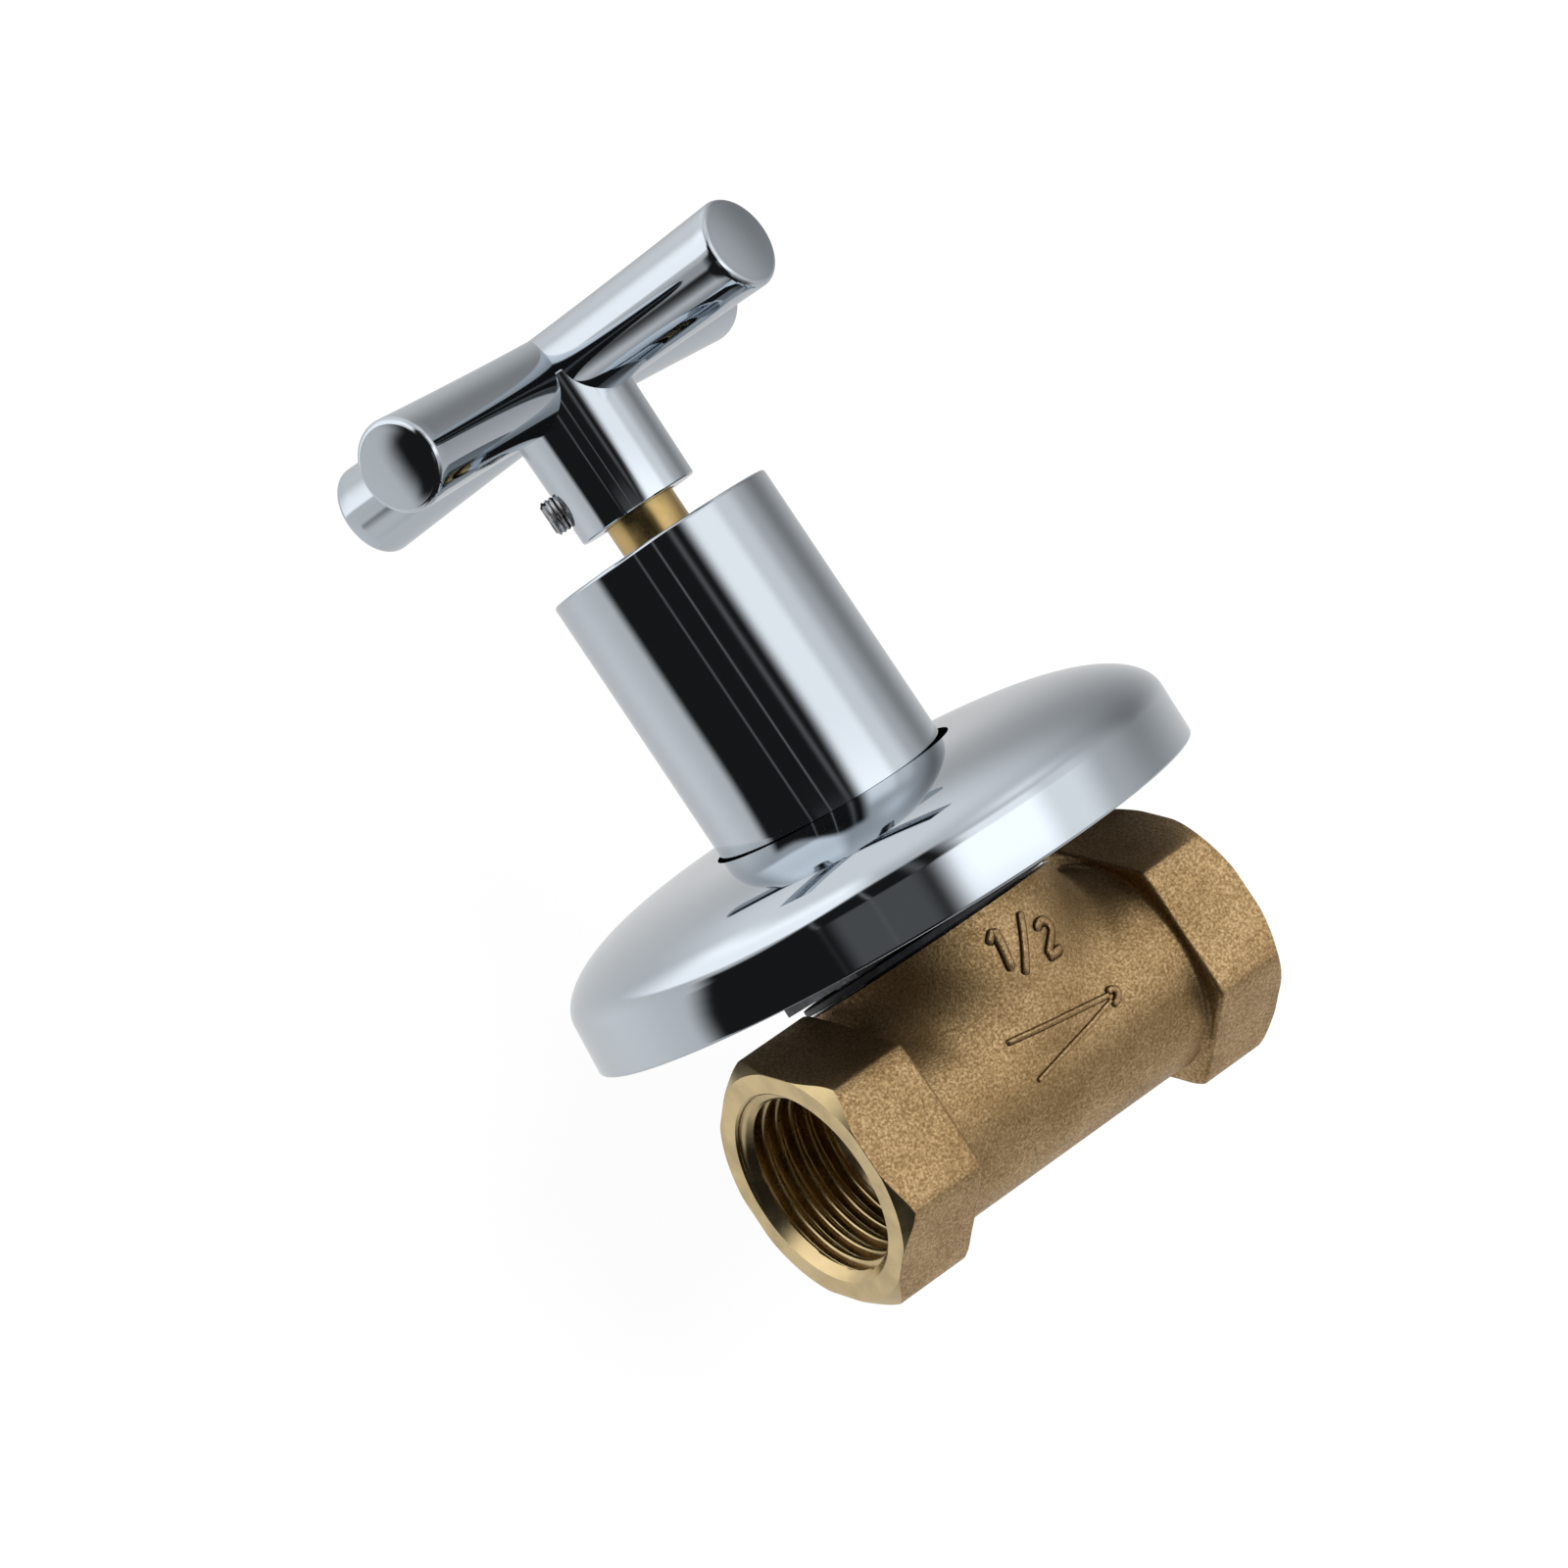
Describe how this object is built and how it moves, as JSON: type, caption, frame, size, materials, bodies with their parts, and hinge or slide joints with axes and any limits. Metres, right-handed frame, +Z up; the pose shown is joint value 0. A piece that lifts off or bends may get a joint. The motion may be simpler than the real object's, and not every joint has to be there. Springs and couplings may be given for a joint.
{
  "type": "shower stop valve",
  "caption": "Concealed shower stop valve: cast brass body with threaded ports, rising spindle, cover sleeve, domed wall plate and cross handle.",
  "frame": {"origin": "centre of the inlet port's mouth", "axes": "+X points out of the inlet, the water flows along -X, the stem stands out of the wall along -Y towards the user, +Z is up"},
  "size_m": [0.0674, 0.0992, 0.0674],
  "materials": {
    "cast_brass": "rough sand casting, machined faces",
    "turned_brass": "turned",
    "chrome": "polished chrome plate on brass",
    "rubber": "plain",
    "packing": "plain",
    "steel": "plain"
  },
  "bodies": {
    "valve": {"valve_body": "cast_brass", "bonnet_gasket": "rubber", "bonnet": "turned_brass", "packing_washer": "turned_brass", "gland_packing": "packing", "gland_nut": "turned_brass", "spindle_ring": "rubber", "sleeve": "chrome", "sleeve_ring": "rubber"},
    "jumper": {"jumper": "turned_brass", "jumper_washer": "rubber", "washer_plate": "turned_brass", "washer_nut": "turned_brass"},
    "handle": {"spindle": "turned_brass", "spindle_extension": "turned_brass", "extension_screw": "steel", "cross_handle": "chrome", "grub_screw": "steel"},
    "plate": {"wall_plate": "chrome"},
    "ring": {"plate_ring": "rubber"}
  },
  "joints": [
    {"name": "jumper_lift", "type": "slide", "parent": "valve", "child": "jumper", "axis": [0, -1, 0], "range_m": [0, 0.005]},
    {"name": "handle_turn", "type": "hinge", "parent": "jumper", "child": "handle", "pos_m": [-0.0265, 0, 0], "axis": [0, -1, 0], "range_deg": [0, 900]},
    {"name": "plate_slide", "type": "slide", "parent": "valve", "child": "ring", "axis": [0, -1, 0], "range_m": [0, 0.025]},
    {"name": "plate_lean", "type": "hinge", "parent": "ring", "child": "plate", "pos_m": [-0.0265, -0.027, 0], "axis": [1, 0, 0], "range_deg": [0, 13.6]}
  ],
  "couplings": [
    {"joint": "jumper_lift", "follows": "handle_turn", "m_per_rad": 0.0003183}
  ]
}
